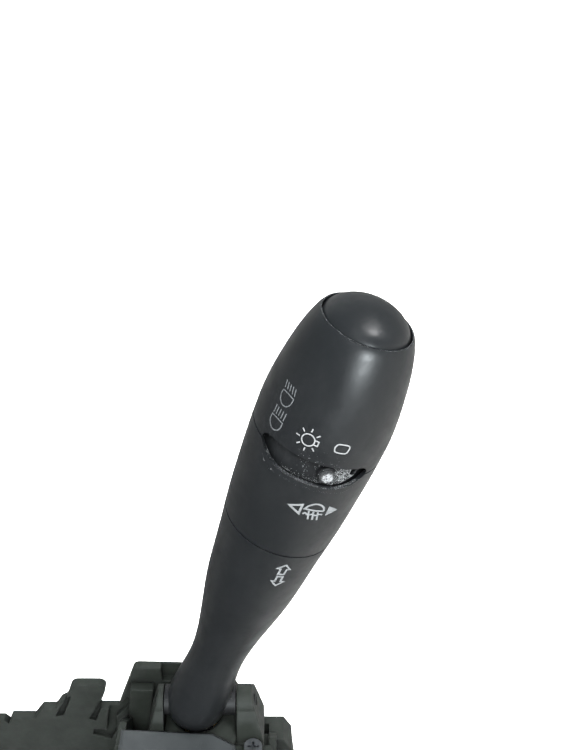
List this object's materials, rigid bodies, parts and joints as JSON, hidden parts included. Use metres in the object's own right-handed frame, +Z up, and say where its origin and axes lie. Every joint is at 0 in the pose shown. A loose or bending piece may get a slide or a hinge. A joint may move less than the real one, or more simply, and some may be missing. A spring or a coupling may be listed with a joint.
{
  "type": "combination stalk switch",
  "caption": "Leaning column stalk with a twist knob, twist ring and push button, swivelling in a moulded switch housing on a saddle bracket.",
  "frame": {"origin": "centre of the two bracket bolts, in the plane of the bracket's feet, straight under the centre of the stalk's root bulb", "axes": "+Z up from the mounting face, +X the way the stalk leans, -Y faces the driver"},
  "size_m": [0.1165, 0.048, 0.1764],
  "materials": {
    "black_satin": "moulded plastic with a soft satin coating",
    "black_core": "glass-filled nylon",
    "black_matte": "moulded plastic, fine texture",
    "white_mark": "white paint",
    "board": "glass-epoxy laminate",
    "brass": "stamped brass sheet",
    "spring_steel": "spring steel wire and strip",
    "grey_black": "moulded plastic, fine spark texture",
    "steel": "turned steel",
    "cover_grey": "moulded plastic, smoother and paler",
    "natural_nylon": "natural acetal",
    "tinned": "tinned brass blades",
    "zinc_steel": "zinc-plated pressed steel"
  },
  "bodies": {
    "housing": {"case_body": "grey_black", "lever_housing": "grey_black", "front_cover": "cover_grey", "rear_cover": "grey_black", "cover_screws": "steel", "detent_cam": "natural_nylon", "circuit_board": "board", "connector_shroud": "grey_black", "terminal_blades": "tinned", "turn_contact_plate": "brass", "mounting_bracket": "zinc_steel", "bracket_rivets": "steel", "pawl_pin": "steel", "pawl_spring": "spring_steel"},
    "yoke": {"swivel_yoke": "grey_black", "flash_pin": "steel"},
    "lever": {"stem_shell": "black_satin", "lever_core": "black_core", "index_collar": "black_matte", "index_dot": "white_mark", "fog_contact_board": "board", "light_contact_board": "board", "lead_strips": "brass", "knob_retainer": "spring_steel", "horn_contact": "brass", "horn_spring": "spring_steel", "detent_spring": "spring_steel"},
    "knob": {"light_knob": "black_satin", "light_wiper": "brass"},
    "ring": {"fog_ring": "black_satin", "fog_wiper": "brass"},
    "button": {"horn_button": "black_satin", "horn_bridge": "brass"},
    "turn_carriage": {"turn_slider": "natural_nylon", "turn_wiper": "brass"},
    "flash_carriage": {"flash_slider": "natural_nylon", "flash_wiper": "brass"},
    "plunger": {"detent_plunger": "natural_nylon"},
    "pawl": {"cancel_pawl": "natural_nylon"}
  },
  "joints": [
    {"name": "turn_swivel", "type": "hinge", "parent": "housing", "child": "yoke", "pos_m": [0, 0, 0.0415], "axis": [0, 1, 0], "range_deg": [-10, 10]},
    {"name": "flash_pull", "type": "hinge", "parent": "yoke", "child": "lever", "pos_m": [0, 0, 0.051], "axis": [1, 0, 0], "range_deg": [0, 7], "stiffness_Nm_per_rad": 3, "springref_deg": -5.73},
    {"name": "light_turn", "type": "hinge", "parent": "lever", "child": "knob", "pos_m": [0, 0, 0.051], "axis": [0.319, 0, 0.9478], "range_deg": [0, 57]},
    {"name": "fog_turn", "type": "hinge", "parent": "lever", "child": "ring", "pos_m": [0, 0, 0.051], "axis": [0.319, 0, 0.9478], "range_deg": [-15, 15], "stiffness_Nm_per_rad": 0.15},
    {"name": "horn_press", "type": "slide", "parent": "lever", "child": "button", "axis": [-0.319, 0, -0.9478], "range_m": [0, 0.0022], "stiffness_N_per_m": 1500, "springref_m": -0.001, "deforming": ["horn_spring"]},
    {"name": "turn_slide", "type": "slide", "parent": "housing", "child": "turn_carriage", "axis": [1, 0, 0], "range_m": [-0.0032, 0.0032]},
    {"name": "flash_slide", "type": "slide", "parent": "housing", "child": "flash_carriage", "axis": [0, 1, 0], "range_m": [0, 0.003]},
    {"name": "detent_press", "type": "slide", "parent": "lever", "child": "plunger", "axis": [0, 0, 1], "range_m": [0, 0.0015], "stiffness_N_per_m": 1200, "springref_m": -0.001, "deforming": ["detent_spring"]},
    {"name": "pawl_swing", "type": "hinge", "parent": "housing", "child": "pawl", "pos_m": [0, 0, 0.015], "axis": [0, 1, 0], "range_deg": [-15, 15], "stiffness_Nm_per_rad": 0.05, "deforming": ["pawl_spring"]}
  ],
  "couplings": [
    {"joint": "turn_slide", "follows": "turn_swivel", "m_per_rad": -0.0175},
    {"joint": "flash_slide", "follows": "flash_pull", "m_per_rad": 0.024}
  ]
}
